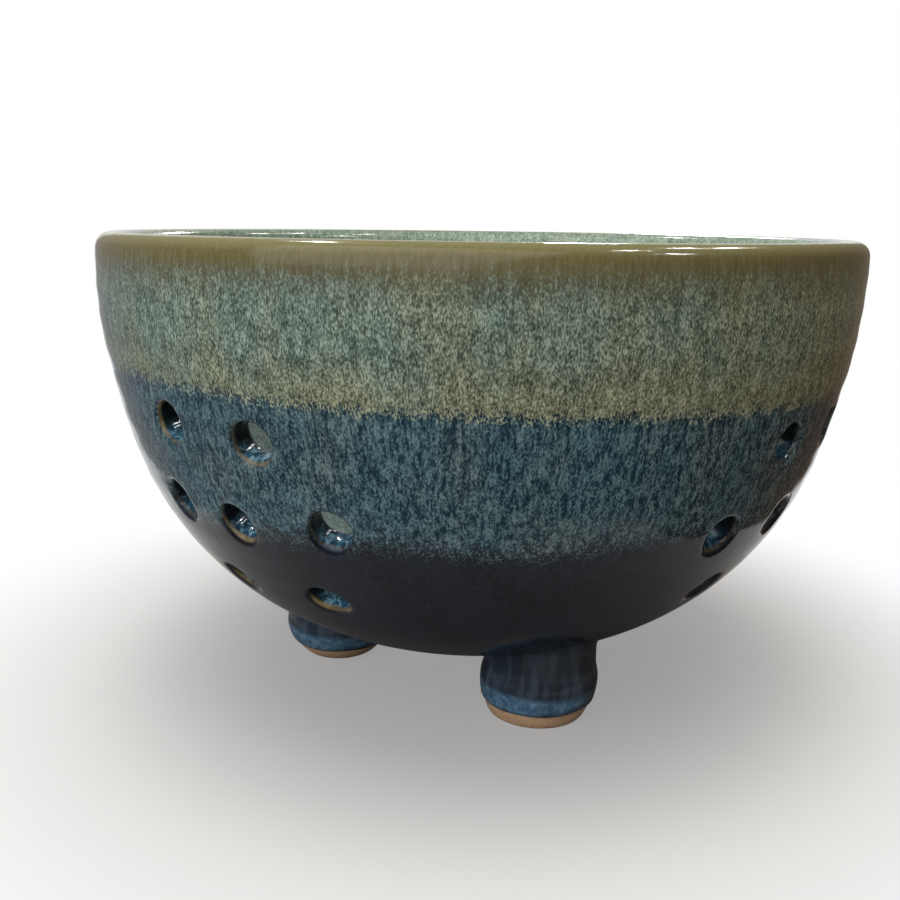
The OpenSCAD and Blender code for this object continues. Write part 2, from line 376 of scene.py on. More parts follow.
def hand_made(points):
    """Points drawn towards the axis: by a spiral wave with one ridge a turn and one
    ring pitch up the wall, by two slow waves round the bowl, and near the rim by a
    wave that is largest on the left."""
    turn = np.arctan2(points[:, 0], -points[:, 1])
    radius = np.hypot(points[:, 0], points[:, 1])
    spiral = 1 + np.sin(2 * np.pi * points[:, 2] / RING_PITCH + turn)
    slow = 1 + 0.5 * np.sin(2 * turn + 0.6) + 0.5 * np.sin(3 * turn + 2.1)
    high = np.clip((points[:, 2] - RINGS_FROM) / (RINGS_FULL - RINGS_FROM), 0, 1)
    rim = np.clip((points[:, 2] - RIM_FROM) / (RIM_FULL - RIM_FROM), 0, 1) ** 2
    drawn = (high * (RING_DEEP * spiral + SLOW_DEEP * slow)
             + rim * RIM_DEEP * (1 - np.sin(turn)))
    share = 1 - drawn / np.maximum(radius, 1)
    return points * np.stack([share, share, np.ones_like(share)], -1)


wall_points = np.concatenate(points)
corners = np.concatenate([used.ravel(), np.concatenate(triangles).ravel()])
used_points, numbering = np.unique(corners, return_inverse=True)
wall_quads = numbering[:used.size].reshape(-1, 4)
wall_triangles = numbering[used.size:].reshape(-1, 3)
blue_coat = make_piece("blue_glaze_coat", hand_made(wall_points[used_points]), wall_quads,
                       wall_triangles, slot="blue_glaze", stands_for=["blue_base_glaze"],
                       thin=np.concatenate(thins)[used_points],
                       inner=np.concatenate(inners)[used_points],
                       pool=np.concatenate(pools)[used_points])

# %% [markdown]
# ## The green coat
# The last dip: the rim was held in the green glaze down to a level line. It
# lies on the blue coat as a skin of 0.3 mm, over the lip and down both faces,
# and it feathers out at its lower edge. So this piece is a closed thin shell:
# its outside in rows along a path, and its inside just below the blue surface.
# The lowest rows start below that surface too, so no edge shows there.

# %% Green coat
DIP_H, DIP_TILT = 74.8, np.radians(1.3)
SKIRT, START = 3.2, -0.05
FEATHER = 3.5  # the coat has its full thickness from 1/3.5 of the way up
CROWD = 1.3  # a power over 1 crowds the rows towards the edge


def dip_line(turn):
    """Height of the dip's edge: a level that tilts up to the left, and a slow wave."""
    return (DIP_H - RIM_R * np.sin(turn) * np.tan(DIP_TILT)
            + 0.35 * np.sin(3 * turn + 1.0) + 0.25 * np.sin(7 * turn + 2.2))


def way_at(height, depth):
    """The way along the face, drawn in by a depth, where the wall has a height."""
    slope = np.arcsin(np.clip((height - WALL_C[1]) / (WALL_R - depth), -1, 0))
    slope = np.where(slope < WALL_A, np.arcsin((height - SHOULDER_C[1]) / (SHOULDER_R - depth)), slope)
    on_wall = slope >= WALL_A
    return np.where(on_wall, WAYS[2] + WALL_R * (slope - WALL_A),
                    WAYS[1] + SHOULDER_R * (slope - BASE_A))


def green_rows(cover, steps=24, lip_steps=14):
    """The coat's skin, its rows from the outer edge up, over the lip and down to the
    inner edge: on each face at even shares of the way from the edge to the rim."""
    share = np.linspace(0, 1, steps)[:, None] ** CROWD
    edge = dip_line(turns)[None] - SKIRT
    out_way, in_way = way_at(edge, 0), way_at(edge, WALL_T)
    feather = np.clip(share * FEATHER, 0, 1)
    thick = cover * feather + START * (1 - feather)
    out_r, out_h, _ = face(out_way + share * (RIM_WAY - out_way), -thick)
    in_r, in_h, _ = face(in_way + share * (RIM_WAY - in_way), WALL_T + thick)
    bend = np.radians(np.linspace(0, 180, lip_steps + 2)[1:-1])[:, None]
    reach = WALL_T / 2 + cover
    lip_r = GLAZED_R - WALL_T / 2 + reach * np.cos(bend) + 0 * edge
    lip_h = LIP_H + reach * np.sin(bend) + 0 * edge
    radius = np.concatenate([out_r, lip_r, in_r[::-1]])
    height = np.concatenate([out_h, lip_h, in_h[::-1]])
    steps_back = np.hypot(np.diff(radius, axis=0), np.diff(height, axis=0))
    along = np.concatenate([0 * edge, np.cumsum(steps_back, 0)])
    crest = along[steps + lip_steps // 2]
    return around(radius, height, turns[None]), crest - along


skin, from_crest = green_rows(GREEN_T)
back, _ = green_rows(-0.15)
shell = np.concatenate([skin, back[::-1]])
from_crest = np.concatenate([from_crest, 0 * from_crest])
green_coat = make_piece("green_glaze_coat", hand_made(shell.reshape(-1, 3)),
                        grid_faces(len(shell), COLUMNS, close_rows=True).reshape(-1, 4),
                        slot="green_glaze", stands_for=["green_rim_glaze"],
                        from_crest=from_crest.ravel())

# %% [markdown]
# ## The feet
# Each foot is a lump of clay rolled in the palm, scored, stuck on with slip
# and stood on the bench, so it has a fat belly, a narrower flat underside and
# no two are the same. It is a profile carried round a vertical line, with a
# lean and a lump that change with the direction. Its top rows follow the
# bowl's underside.

# %% Foot sizes
FOOT_RING_R, BARE_H = 32.4, 3.5
TUCK = 0.3  # how far the clay's top goes into the bowl's glazed face
BELLY_R, BELLY_H, NECK_R, NECK_H = 12.2, 8.0, 11.5, LIFT_H + 4.0
# Each foot's number round the bowl, its underside's radius, its lean to +X and +Y, and
# its lump's size in tenths of the radius and direction
FEET = {
    "front": (0, 9.8, (-0.8, 0.1), 0.18, 2.6),
    "left": (-1, 6.5, (0.3, -0.3), 0.25, 0.8),
    "rear": (1, 8.0, (0.2, 0.4), 0.2, 4.0)}
FOOT_COLUMNS = 72
foot_turns = 2 * np.pi * np.arange(FOOT_COLUMNS) / FOOT_COLUMNS


def bezier(p, steps):
    """Points of a smooth curve with four control points."""
    t = np.linspace(0, 1, steps + 1)[:, None]
    p = np.array(p, float)
    return (1 - t) ** 3 * p[0] + 3 * (1 - t) ** 2 * t * p[1] + 3 * (1 - t) * t**2 * p[2] + t**3 * p[3]


def foot_side(pad):
    """Radius and height up a foot's side: out from the underside's edge to the belly,
    and in again to the neck."""
    low = bezier([[pad, 0], [pad + 0.35 * (BELLY_R - pad), 0],
                  [BELLY_R, 0.55 * BELLY_H], [BELLY_R, BELLY_H]], 14)
    high = bezier([[BELLY_R, BELLY_H], [BELLY_R, BELLY_H + 0.45 * (NECK_H - BELLY_H)],
                   [NECK_R, NECK_H - 0.45 * (NECK_H - BELLY_H)], [NECK_R, NECK_H]], 8)
    return np.concatenate([low, high[1:]])


def stand(number, profile_r, profile_h, lean, lump, lump_at):
    """A foot's surface: each row's radius, swollen by a lump once round and moved by
    a lean that fades to nothing at the neck, at its place in the ring of feet."""
    turn = FOOT_TURN + number * np.radians(120)
    low = np.clip(1 - profile_h / NECK_H, 0, 1) ** 1.5
    swell = 1 + low * lump / 10 * np.sin(2 * foot_turns + lump_at)
    radius = profile_r * swell
    centre = around(FOOT_RING_R, 0, turn)
    x = centre[0] + radius * np.cos(foot_turns) + lean[0] * low
    y = centre[1] + radius * np.sin(foot_turns) + lean[1] * low
    return np.stack(np.broadcast_arrays(x, y, profile_h), -1)


def below_bowl(points, depth):
    """Rows moved up to the bowl's face at a depth where they would rise above it."""
    on = onto_face(points, depth)
    return np.where((points[..., 2] > on[..., 2])[..., None], on, points)


# %% The clay of the feet
def clay_foot(name):
    """A closed foot: rings over the underside, up the side, and over the top under the
    bowl's face, each pole closed by a fan of triangles."""
    number, pad, lean, lump, lump_at = FEET[name]
    side = foot_side(pad)
    under = np.array([[pad * s, 0] for s in (0.35, 0.7, 0.97)])
    rise = np.array([[NECK_R, NECK_H + 2], [NECK_R, NECK_H + 5],
                     [NECK_R * 0.8, NECK_H + 5], [NECK_R * 0.4, NECK_H + 5]])
    path = np.concatenate([under, side, rise])
    rows = stand(number, path[:, :1], path[:, 1:], lean, lump, lump_at)
    rows[len(under):] = below_bowl(rows[len(under):], TUCK)
    flat = rows.reshape(-1, 3)
    poles = np.stack([rows[0].mean(0), rows[-1].mean(0)])
    ring = np.arange(FOOT_COLUMNS)
    last = (len(rows) - 1) * FOOT_COLUMNS + ring
    fans = np.concatenate([np.stack([np.roll(ring, -1), ring, np.full_like(ring, len(flat))], -1),
                           np.stack([last, np.roll(last, -1), np.full_like(ring, len(flat) + 1)], -1)])
    return make_piece(f"clay_foot_{name}", np.concatenate([flat, poles]),
                      grid_faces(len(rows), FOOT_COLUMNS).reshape(-1, 4), fans,
                      slot="stoneware", stands_for=[f"foot_{name}"])


clay_feet = [clay_foot(name) for name in FEET]

# %% [markdown]
# ### The glaze on the feet
# The potter wiped or waxed the bottom 3.5 mm of each foot, so that it wouldn't
# stick to the kiln shelf. The glaze ends there in a rounded roll, where it
# crept together in the fire, and at the top it flows into the bowl's glaze
# in a small hollow curve. It pools above the roll, and the pool is painted
# larger on the side of each foot that faces the light.

# %% Glaze on the feet
COAT, HOLLOW, HIDDEN, COAT_ROWS = 0.5, 1.6, 0.8, 24
ROLL_H, ROLL_START = 0.6, 0.25
POOL_H, POOL_SPREAD, POOL_TURN = 2.4, 2.1, 0.7


def face_height(radius):
    """Height of the bowl's underside at a radius: the base's arc, and the shoulder's beyond it."""
    base = BASE_C[1] - np.sqrt(BASE_R**2 - np.minimum(radius, BASE_R) ** 2)
    shoulder = SHOULDER_C[1] - np.sqrt(np.maximum(SHOULDER_R**2 - (radius - SHOULDER_C[0]) ** 2, 0))
    return np.where(radius < BASE_R * np.cos(BASE_A), base, shoulder)


def foot_coat(name):
    """A closed ring of glaze: a roll at the wavy lower edge, the side pushed out by the
    coat's thickness, a hollow curve onto the bowl's face, and back inside the clay."""
    number, pad, lean, lump, lump_at = FEET[name]
    side = foot_side(pad)

    def surface(height, extra):
        radius = np.interp(height, side[:, 1], side[:, 0]) + extra
        return stand(number, radius, height, lean, lump, lump_at)

    edge = BARE_H + 0.16 * np.sin(2 * foot_turns + lump_at) + 0.1 * np.sin(5 * foot_turns + 2 * lump_at)
    top = np.full((1, FOOT_COLUMNS), NECK_H)
    for _ in range(4):
        corner = surface(top, COAT)
        top = face_height(np.hypot(corner[..., 0], corner[..., 1]))
    corner = surface(top, COAT)
    share = np.linspace(0, 1, COAT_ROWS)[:, None] ** CROWD
    height = edge + (top - HOLLOW - edge) * share
    roll = np.minimum(1, ROLL_START + (np.maximum(height - edge, 0) / ROLL_H) ** 0.5)
    outside = surface(height, COAT * roll)
    away = corner - stand(number, np.zeros((1, 1)), top, lean, lump, lump_at)
    away = away / np.linalg.norm(away, axis=-1, keepdims=True)
    landing = onto_face(corner + away * HOLLOW, 0)
    t = np.linspace(0, 1, 7)[1:, None, None]
    hollow = (1 - t) ** 2 * outside[-1:] + 2 * (1 - t) * t * corner + t**2 * landing
    back = [onto_face(landing, HIDDEN), onto_face(surface(top, -1), HIDDEN),
            surface(top - 2, -1), surface(edge[None] + 0.3, -0.6)]
    rows = np.concatenate([outside, hollow, *back])
    pool = np.zeros(rows.shape[:2])
    # Painted light: the pool is larger on the side of the foot that faces the light
    pool_side_and_painted_light = 0.55 - 0.45 * np.cos(foot_turns - POOL_TURN)
    pool[:len(height)] = pool_side_and_painted_light * np.exp(-(((height - edge - POOL_H) / POOL_SPREAD) ** 2))
    return make_piece(f"foot_glaze_{name}", rows.reshape(-1, 3),
                      grid_faces(len(rows), FOOT_COLUMNS, close_rows=True).reshape(-1, 4),
                      slot="blue_glaze", pool=pool.ravel())


foot_coats = [foot_coat(name) for name in FEET]

# %% [markdown]
# ## Materials
# Each finish below starts from what it is in the kiln. Colours are written as
# they are seen on screen, as sRGB hex values, and one function turns them to the
# linear values that the shader adds up. All patterns read Object coordinates
# turned to millimetres, so a noise of Scale 2.5 has grains of 0.4 mm.
# Sockets go by number where Blender has several of one name. On a Mix node 0
# is the share, 6 and 7 the two colours, and 2 the mixed one. A Map Range node
# turns 1 to 2 into 3 to 4, which are 0 and 1 where they aren't given.

# %% Colour and node helpers
# Settings that many nodes share
RGBA, SMOOTH = {"data_type": "RGBA"}, {"interpolation_type": "SMOOTHSTEP"}


def linear(hex_colour):
    """An sRGB hex colour as linear red, green, blue and 1: each share c becomes c over
    12.92 where it is small, and ((c + 0.055) over 1.055) to the power 2.4 above."""
    c = np.array([int(hex_colour[i:i + 2], 16) for i in (1, 3, 5)]) / 255
    return (*np.where(c <= 0.04045, c / 12.92, ((c + 0.055) / 1.055) ** 2.4).tolist(), 1.0)


def add(tree, kind, inputs=None, **settings):
    """One node with its settings. Each input is a value, a hex colour or another node's
    output."""
    made = tree.nodes.new(kind)
    for key, value in settings.items():
        setattr(made, key, value)
    for key, value in (inputs or {}).items():
        if isinstance(value, bpy.types.NodeSocket):
            tree.links.new(value, made.inputs[key])
        else:
            made.inputs[key].default_value = linear(value) if isinstance(value, str) else value
    return made


def new_material(name):
    """An empty node material with a Principled shader, and its place in mm."""
    material = bpy.data.materials.new(name)
    material.use_nodes = True
    tree = material.node_tree
    tree.nodes.clear()
    shader = add(tree, "ShaderNodeBsdfPrincipled")
    add(tree, "ShaderNodeOutputMaterial", {"Surface": shader.outputs[0]})
    place = add(tree, "ShaderNodeMapping",
                {"Vector": add(tree, "ShaderNodeTexCoord").outputs["Object"],
                 "Scale": (1 / MM, 1 / MM, 1 / MM)}).outputs[0]
    return material, tree, shader, place


# %% [markdown]
# ## Flecks and gloss
# Rutile and tin in a stoneware glaze part from it in the fire as fine pale
# flecks, and gravity draws them out. On this pot they are like grains of rice,
# 0.2 to 0.4 mm wide and up to 1 mm high, gathered in loose clusters. A noise
# texture, squeezed in height, gives them; a coarser one added to it gives the
# clusters. Both glazes share the pattern, so the flecks run through the line
# where the dips meet, as they do in the fired glass.

# %% Flecks and gloss
def grains(tree, place):
    """The fleck pattern, a number round 0.5: fine noise plus a share of coarser noise. Also
    the same drawn out to long runs, and slow patches about 10 mm wide."""
    rice = add(tree, "ShaderNodeMapping", {"Vector": place, "Scale": (1, 1, 0.46)}).outputs[0]
    drawn = add(tree, "ShaderNodeMapping", {"Vector": place, "Scale": (1, 1, 0.1)}).outputs[0]
    fine = add(tree, "ShaderNodeTexNoise",
               {"Vector": rice, "Scale": 3.5, "Detail": 2, "Distortion": 0.3}).outputs[0]
    cluster = add(tree, "ShaderNodeTexNoise", {"Vector": rice, "Scale": 0.7, "Detail": 2}).outputs[0]
    fleck = add(tree, "ShaderNodeMath", {0: cluster, 1: 0.4, 2: fine},
                operation="MULTIPLY_ADD").outputs[0]
    fleck = add(tree, "ShaderNodeMath", {0: fleck, 1: 0.2}, operation="SUBTRACT").outputs[0]
    runs = add(tree, "ShaderNodeTexNoise", {"Vector": drawn, "Scale": 1.6, "Detail": 3}).outputs[0]
    patch = add(tree, "ShaderNodeTexNoise", {"Vector": rice, "Scale": 0.1, "Detail": 1}).outputs[0]
    return fleck, runs, patch


def speckled(tree, fleck, deep, mid, pale):
    """The colour of a speckled glaze: deep between the flecks, mid at their edges and pale
    in their middles. Each is a hex colour or another node's colour."""
    low = add(tree, "ShaderNodeMapRange", {0: fleck, 1: 0.32, 2: 0.5}).outputs[0]
    high = add(tree, "ShaderNodeMapRange", {0: fleck, 1: 0.5, 2: 0.70}).outputs[0]
    body = add(tree, "ShaderNodeMix", {0: low, 6: deep, 7: mid}, **RGBA).outputs[2]
    return add(tree, "ShaderNodeMix", {0: high, 6: body, 7: pale}, **RGBA).outputs[2]


def glassy(tree, shader, place, colour, wave=0.0):
    """Sets a shader to a fired gloss glaze: the colour, a slightly uneven gloss, and a
    skin as fine and shallow as orange peel, with a wave added where one is given."""
    peel = add(tree, "ShaderNodeTexNoise", {"Vector": place, "Scale": 0.35, "Detail": 2}).outputs[0]
    height = add(tree, "ShaderNodeMath", {0: wave, 1: 2.0, 2: peel},
                 operation="MULTIPLY_ADD").outputs[0]
    skin = add(tree, "ShaderNodeBump", {"Height": height, "Strength": 0.25, "Distance": 0.00025})
    gloss = add(tree, "ShaderNodeMapRange", {0: peel, 1: 0.3, 2: 0.7, 3: 0.10, 4: 0.17}).outputs[0]
    tree.links.new(colour, shader.inputs["Base Color"])
    tree.links.new(gloss, shader.inputs["Roughness"])
    tree.links.new(skin.outputs[0], shader.inputs["Normal"])
    shader.inputs["IOR"].default_value = 1.45
    shader.inputs["Specular IOR Level"].default_value = 0.22


# %% [markdown]
# ## The blue glaze
# A rutile blue over a black base glaze: pale grey-blue flecks on deep navy,
# with navy runs between them, and browner on the pot's right. They end at the
# line of the dip, 50 mm above the table. Below it only the black base glaze is
# left, glassy and nearly smooth, with faint flecks of slate, and painted darker
# as shade of the underside. On a hole's lip every glaze runs thin, first to
# black and then to the clay's amber, which is painted weaker on the holes to
# the right, in shade. Each bore is painted dark as shade, and in its bottom
# the glaze pools thick, light and rippled, with pale specks that are partly
# painted glints, painted darker in the holes to the right. Inside, the same
# glaze's flecks close up to a grey-green, painted light as lit from above.

# %% Blue glaze
BLUE_DIP_H, NOISE_H = 50, 8  # the two noises lift the dip's line by 8 mm on average


def blue_colours(tree, place):
    """The colour of the blue and black dips at each place, the black painted darker as shade, and the
    fleck pattern.
    """
    spot = add(tree, "ShaderNodeSeparateXYZ", {0: place}).outputs
    fleck, runs, patch = grains(tree, place)
    tan = add(tree, "ShaderNodeMapRange", {0: patch, 1: 0.42, 2: 0.68, 4: 0.45}).outputs[0]
    brown_side = add(tree, "ShaderNodeMapRange", {0: spot["X"], 1: 15, 2: 75, 4: 0.45}).outputs[0]
    tan = add(tree, "ShaderNodeMath", {0: tan, 1: brown_side}, operation="ADD").outputs[0]
    navy = add(tree, "ShaderNodeMapRange", {0: runs, 1: 0.5, 2: 0.36, 4: 0.6}).outputs[0]
    mid = add(tree, "ShaderNodeMix", {0: tan, 6: "#36525b", 7: "#464f4c"}, **RGBA).outputs[2]
    mid = add(tree, "ShaderNodeMix", {0: navy, 6: mid, 7: "#13293b"}, **RGBA).outputs[2]
    pale = add(tree, "ShaderNodeMix", {0: tan, 6: "#5f7b81", 7: "#777e76"}, **RGBA).outputs[2]
    streak = add(tree, "ShaderNodeMath", {0: runs, 1: 0.6, 2: fleck},
                 operation="MULTIPLY_ADD").outputs[0]
    streak = add(tree, "ShaderNodeMath", {0: streak, 1: 0.3}, operation="SUBTRACT").outputs[0]
    blue = speckled(tree, streak, "#132834", mid, pale)

    wave = add(tree, "ShaderNodeTexNoise", {"Vector": place, "Scale": 0.03, "Detail": 1}).outputs[0]
    edge = add(tree, "ShaderNodeMath", {0: wave, 1: 7, 2: spot["Z"]},
               operation="MULTIPLY_ADD").outputs[0]
    edge = add(tree, "ShaderNodeMath", {0: fleck, 1: 9, 2: edge}, operation="MULTIPLY_ADD").outputs[0]
    dipped = add(tree, "ShaderNodeMapRange",
                 {0: edge, 1: BLUE_DIP_H + NOISE_H - 1.8, 2: BLUE_DIP_H + NOISE_H + 3.8},
                 **SMOOTH).outputs[0]
    cloud = add(tree, "ShaderNodeMapRange", {0: patch, 1: 0.4, 2: 0.65}).outputs[0]
    # Painted shade: the black below the blue is painted darker, as shade of the underside
    black_and_painted_shade = add(tree, "ShaderNodeMix", {0: cloud, 6: "#090c12", 7: "#101523"}, **RGBA).outputs[2]
    faint = add(tree, "ShaderNodeMapRange", {0: fleck, 1: 0.42, 2: 0.68, 4: 0.9}).outputs[0]
    black_and_painted_shade = add(tree, "ShaderNodeMix", {0: faint, 6: black_and_painted_shade, 7: "#1c232e"}, **RGBA).outputs[2]
    colour = add(tree, "ShaderNodeMix", {0: dipped, 6: black_and_painted_shade, 7: blue}, **RGBA).outputs[2]
    return colour, fleck, runs, patch, spot


# A rutile blue over black: deep and glassy, with pale flecks that have run
rutile_blue, tree, shader, place = new_material("rutile_blue_glaze")
colour, fleck, _, _, spot = blue_colours(tree, place)

# The inside's speckle, painted lighter as lit from above, and the dark bore between the two faces,
# painted as shade
inner = add(tree, "ShaderNodeAttribute", attribute_name="inner").outputs["Fac"]
inside_speckle_painted_light = speckled(tree, fleck, "#52666a", "#7e908e", "#a9b7b3")
inside = add(tree, "ShaderNodeMapRange", {0: inner, 1: 0.75, 2: 1.0}).outputs[0]
colour = add(tree, "ShaderNodeMix", {0: inside, 6: colour, 7: inside_speckle_painted_light}, **RGBA).outputs[2]
# Painted shade: the bore's walls are painted near-black, as the shade inside each hole
bore = add(tree, "ShaderNodeMapRange", {0: inner, 1: 0.08, 2: 0.25}).outputs[0]
bore = add(tree, "ShaderNodeMath", {0: bore, 1: inside}, operation="SUBTRACT").outputs[0]
colour = add(tree, "ShaderNodeMix", {0: bore, 6: colour, 7: "#101416"}, **RGBA).outputs[2]

# The pool in each bore, rippled, with pale specks that are partly painted glints, and painted darker in
# the holes that look away from the light
pool = add(tree, "ShaderNodeAttribute", attribute_name="pool").outputs["Fac"]
ripple = add(tree, "ShaderNodeTexNoise",
             {"Vector": place, "Scale": 0.8, "Detail": 2, "Distortion": 0.6}).outputs[0]
pool_with_painted_light = speckled(tree, ripple, "#142d3e", "#30586e", "#83abbc")
shade = add(tree, "ShaderNodeMapRange", {0: spot["X"], 1: 15, 2: 50, 3: 1.0, 4: 0.4}).outputs[0]
lit = add(tree, "ShaderNodeMath", {0: pool, 1: shade}, operation="MULTIPLY").outputs[0]
colour = add(tree, "ShaderNodeMix", {0: lit, 6: colour, 7: pool_with_painted_light}, **RGBA).outputs[2]

# The lip, where the glaze runs thin: first dark, and here and there worn to amber
thin = add(tree, "ShaderNodeAttribute", attribute_name="thin").outputs["Fac"]
drawn_off = add(tree, "ShaderNodeMapRange", {0: thin, 1: 0.2, 2: 0.8, 4: 0.4}).outputs[0]
colour = add(tree, "ShaderNodeMix", {0: drawn_off, 6: colour, 7: "#1c1a19"}, **RGBA).outputs[2]
uneven = add(tree, "ShaderNodeTexNoise", {"Vector": place, "Scale": 0.16, "Detail": 2}).outputs[0]
worn = add(tree, "ShaderNodeMath", {0: thin, 1: uneven}, operation="MULTIPLY").outputs[0]
# Painted shade: the amber is painted weaker on the holes to the right, which look away from the light
away = add(tree, "ShaderNodeMapRange", {0: spot["X"], 1: 15, 2: 50, 3: 0.65, 4: 0.15}).outputs[0]
worn = add(tree, "ShaderNodeMapRange", {0: worn, 1: 0.36, 2: 0.62, 4: away}).outputs[0]
amber = speckled(tree, uneven, "#504223", "#726136", "#8a774b")
colour = add(tree, "ShaderNodeMix", {0: worn, 6: colour, 7: amber}, **RGBA).outputs[2]
wave = add(tree, "ShaderNodeMath", {0: ripple, 1: pool}, operation="MULTIPLY").outputs[0]
glassy(tree, shader, place, colour, wave)
blue_coat.data.materials.append(rutile_blue)

# %% [markdown]
# ## The green glaze
# A grey-green speckle under gloss: pale sage flecks in a darker olive-green
# glass, mottled over a centimetre or so, bluer on one side of the pot, and
# yellower near the dip's lower edge, which the flecks fringe. At the lip the
# glaze slides off the sharp turn and leaves a thin olive-brown glass, with fine
# runs where the first flecks begin about 5 mm down.

# %% Green glaze
# Pale flecks that hang in green glass, with a wet shine over them
speckled_green, tree, shader, place = new_material("speckled_green_glaze")
blue, fleck, runs, patch, spot = blue_colours(tree, place)
warm = add(tree, "ShaderNodeMapRange", {0: patch, 1: 0.35, 2: 0.7, 3: 0.1, 4: 0.75}).outputs[0]
teal_side = add(tree, "ShaderNodeMapRange", {0: spot["X"], 1: -75, 2: 70, 3: -0.5, 4: 0.45}).outputs[0]
warm = add(tree, "ShaderNodeMath", {0: warm, 1: teal_side}, operation="ADD").outputs[0]
rise = add(tree, "ShaderNodeMath", {0: spot["X"], 1: float(np.tan(DIP_TILT)), 2: spot["Z"]},
           operation="MULTIPLY_ADD").outputs[0]
low = add(tree, "ShaderNodeMapRange", {0: rise, 1: 84, 2: 75, 4: 0.7}).outputs[0]
warm = add(tree, "ShaderNodeMath", {0: warm, 1: low}, operation="ADD", use_clamp=True).outputs[0]
COOL_WARM = [("#33413b", "#3f4334"), ("#5b6e64", "#6c715d"), ("#8fa296", "#a2a78b")]
deep, mid, pale = [
    add(tree, "ShaderNodeMix", {0: warm, 6: one, 7: other}, **RGBA).outputs[2]
    for one, other in COOL_WARM]
green = speckled(tree, fleck, deep, mid, pale)

# Flecks times 8 are nearly 4 on average, which comes off again, so the edge keeps its height
ragged = add(tree, "ShaderNodeMath", {0: fleck, 1: 8, 2: rise}, operation="MULTIPLY_ADD").outputs[0]
dipped = add(tree, "ShaderNodeMapRange",
             {0: ragged, 1: DIP_H + 3.7 - 0.6, 2: DIP_H + 3.7 + 0.6}).outputs[0]
green = add(tree, "ShaderNodeMix", {0: dipped, 6: blue, 7: green}, **RGBA).outputs[2]

crest = add(tree, "ShaderNodeAttribute", attribute_name="from_crest").outputs["Fac"]
inside = add(tree, "ShaderNodeMapRange", {0: crest, 1: 0.3, 2: -1.0}, **SMOOTH).outputs[0]
# Painted light: the rim's inside is speckled without the olive, and painted lighter as lit from above
inside_speckle_painted_light = speckled(tree, fleck, "#5a6c5c", "#869784", "#b6c4b4")
green = add(tree, "ShaderNodeMix", {0: inside, 6: green, 7: inside_speckle_painted_light}, **RGBA).outputs[2]

# Flecks times 4 and runs times 6 are 5 on average: the bare glass ends 5 to 10 mm from the crest
slid = add(tree, "ShaderNodeMath", {0: fleck, 1: 4, 2: crest}, operation="MULTIPLY_ADD").outputs[0]
slid = add(tree, "ShaderNodeMath", {0: runs, 1: 6, 2: slid}, operation="MULTIPLY_ADD").outputs[0]
bare = add(tree, "ShaderNodeMapRange", {0: slid, 1: 15.0, 2: 9.5}, **SMOOTH).outputs[0]
outside = add(tree, "ShaderNodeMath", {0: 1.0, 1: inside}, operation="SUBTRACT").outputs[0]
bare = add(tree, "ShaderNodeMath", {0: bare, 1: outside}, operation="MULTIPLY").outputs[0]
down = add(tree, "ShaderNodeMapRange", {0: crest, 1: 1.6, 2: 4.2}).outputs[0]
brown = add(tree, "ShaderNodeMapRange", {0: crest, 1: 5.0, 2: 8.0}).outputs[0]
streaky = add(tree, "ShaderNodeMapRange", {0: runs, 1: 0.35, 2: 0.65, 4: 0.5}).outputs[0]
olive = add(tree, "ShaderNodeMix", {0: down, 6: "#7e7a52", 7: "#5c5635"}, **RGBA).outputs[2]
olive = add(tree, "ShaderNodeMix", {0: brown, 6: olive, 7: "#4e4a38"}, **RGBA).outputs[2]
streak = add(tree, "ShaderNodeMix", {0: down, 6: "#87835c", 7: "#716a4b"}, **RGBA).outputs[2]
olive = add(tree, "ShaderNodeMix", {0: streaky, 6: olive, 7: streak}, **RGBA).outputs[2]
veil = add(tree, "ShaderNodeMapRange", {0: crest, 1: 13.0, 2: 5.0, 4: 0.6}).outputs[0]
veil = add(tree, "ShaderNodeMath", {0: veil, 1: outside}, operation="MULTIPLY").outputs[0]
green = add(tree, "ShaderNodeMix", {0: veil, 6: green, 7: olive}, **RGBA).outputs[2]
green = add(tree, "ShaderNodeMix", {0: bare, 6: green, 7: olive}, **RGBA).outputs[2]
glassy(tree, shader, place, green)
green_coat.data.materials.append(speckled_green)

# %% [markdown]
# ## The glaze on the feet
# The same black and blue, but far below the dips. The glaze ran down the
# knobs in soft pale falls, and pooled above its edge in a thick band of lighter
# blue. Towards the bowl the foot is painted darker, as shade under the bowl.

# %% Foot glaze
# Glaze that has pooled: a deep blue that looks wet
pooled_blue, tree, shader, place = new_material("pooled_blue_glaze")
_, _, patch = grains(tree, place)
pool = add(tree, "ShaderNodeAttribute", attribute_name="pool").outputs["Fac"]
cloud = add(tree, "ShaderNodeMapRange", {0: patch, 1: 0.38, 2: 0.62}).outputs[0]
body = add(tree, "ShaderNodeMix", {0: cloud, 6: "#1f2226", 7: "#25303e"}, **RGBA).outputs[2]
ripple = add(tree, "ShaderNodeTexNoise",
             {"Vector": place, "Scale": 0.6, "Detail": 3, "Distortion": 0.6}).outputs[0]
falls = add(tree, "ShaderNodeMapping", {"Vector": place, "Scale": (1, 1, 0.12)}).outputs[0]
falls = add(tree, "ShaderNodeTexNoise", {"Vector": falls, "Scale": 0.4, "Detail": 3}).outputs[0]
veil = add(tree, "ShaderNodeMapRange", {0: falls, 1: 0.45, 2: 0.7, 4: 0.8}).outputs[0]
body = add(tree, "ShaderNodeMix", {0: veil, 6: body, 7: "#414e59"}, **RGBA).outputs[2]
pooled = speckled(tree, ripple, "#344e63", "#46637a", "#5f7f96")
thick = add(tree, "ShaderNodeMapRange", {0: pool, 1: 0.15, 2: 0.75}, **SMOOTH).outputs[0]
body = add(tree, "ShaderNodeMix", {0: thick, 6: body, 7: pooled}, **RGBA).outputs[2]
